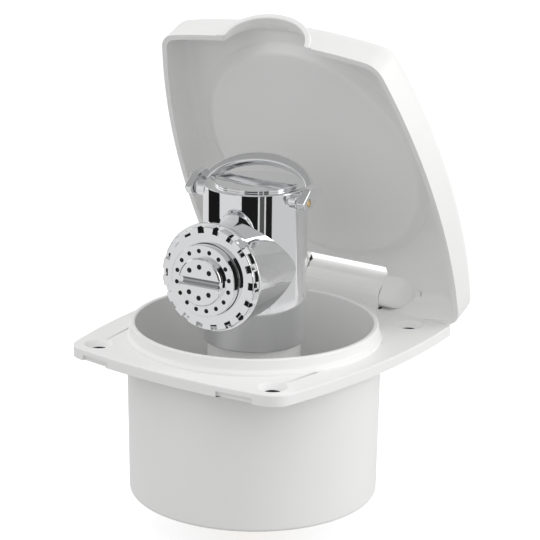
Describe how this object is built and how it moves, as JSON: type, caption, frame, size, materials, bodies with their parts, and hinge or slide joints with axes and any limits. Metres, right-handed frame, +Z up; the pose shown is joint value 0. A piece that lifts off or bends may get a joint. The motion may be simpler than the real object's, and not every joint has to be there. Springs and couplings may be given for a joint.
{
  "type": "deck shower box",
  "caption": "White deck-mounted shower box with an open lid and a chrome hand shower with a lever, standing in its round cup.",
  "frame": {"origin": "on the cup's axis, at the underside of the flange", "axes": "+Z up out of the deck, -Y towards the front where the lid opens, +X to the right"},
  "size_m": [0.1318, 0.1361, 0.2145],
  "materials": {
    "white_plastic": "satin",
    "grey_plastic": "satin",
    "chrome": "chrome plated, mirror",
    "brass": "turned",
    "steel": "satin",
    "rubber": "matt"
  },
  "bodies": {
    "box": {"box_body": "white_plastic", "hinge_pin": "steel", "floor_guide": "white_plastic", "guide_nut": "white_plastic"},
    "lid": {"lid": "white_plastic"},
    "head": {"shower_body": "chrome", "top_cap": "chrome", "cap_seal": "rubber", "pivot_washer_left": "grey_plastic", "pivot_washer_right": "grey_plastic", "valve_seat": "brass", "valve_spring": "steel", "riser_tube": "white_plastic", "feed_pipe": "grey_plastic", "inlet_washer": "rubber", "hose_inlet": "brass", "check_valve": "grey_plastic", "spray_plate": "chrome", "centre_plug": "chrome", "nozzle_filter": "steel", "nozzle_seal": "rubber"},
    "lever": {"bail_lever": "chrome", "cam_shaft": "brass"},
    "valve": {"valve_stem": "brass", "valve_seal": "rubber"},
    "ring": {"grip_ring": "chrome"}
  },
  "joints": [
    {"name": "lid_hinge", "type": "hinge", "parent": "box", "child": "lid", "pos_m": [0, 0.0665, 0.0115], "axis": [1, 0, 0], "range_deg": [0, 65]},
    {"name": "head_slide", "type": "slide", "parent": "box", "child": "head", "axis": [0, 0, 1], "range_m": [-0.0675, 0]},
    {"name": "lever_pivot", "type": "hinge", "parent": "head", "child": "lever", "pos_m": [0.00053, -0.00547, 0.0656], "axis": [0.9953, 0.0971, 0], "range_deg": [-6, 0], "stiffness_Nm_per_rad": 1, "springref_deg": 2.86},
    {"name": "valve_slide", "type": "slide", "parent": "head", "child": "valve", "axis": [0, 0, 1], "range_m": [-0.0007, 0], "deforming": ["valve_spring"]},
    {"name": "ring_turn", "type": "hinge", "parent": "head", "child": "ring", "pos_m": [0, 0, 0.03684], "axis": [0.097, -0.9948, 0.0295], "continuous": true}
  ],
  "couplings": [
    {"joint": "head_slide", "follows": "lid_hinge", "m_per_rad": -0.0594},
    {"joint": "valve_slide", "follows": "lever_pivot", "m_per_rad": 0.0065}
  ]
}
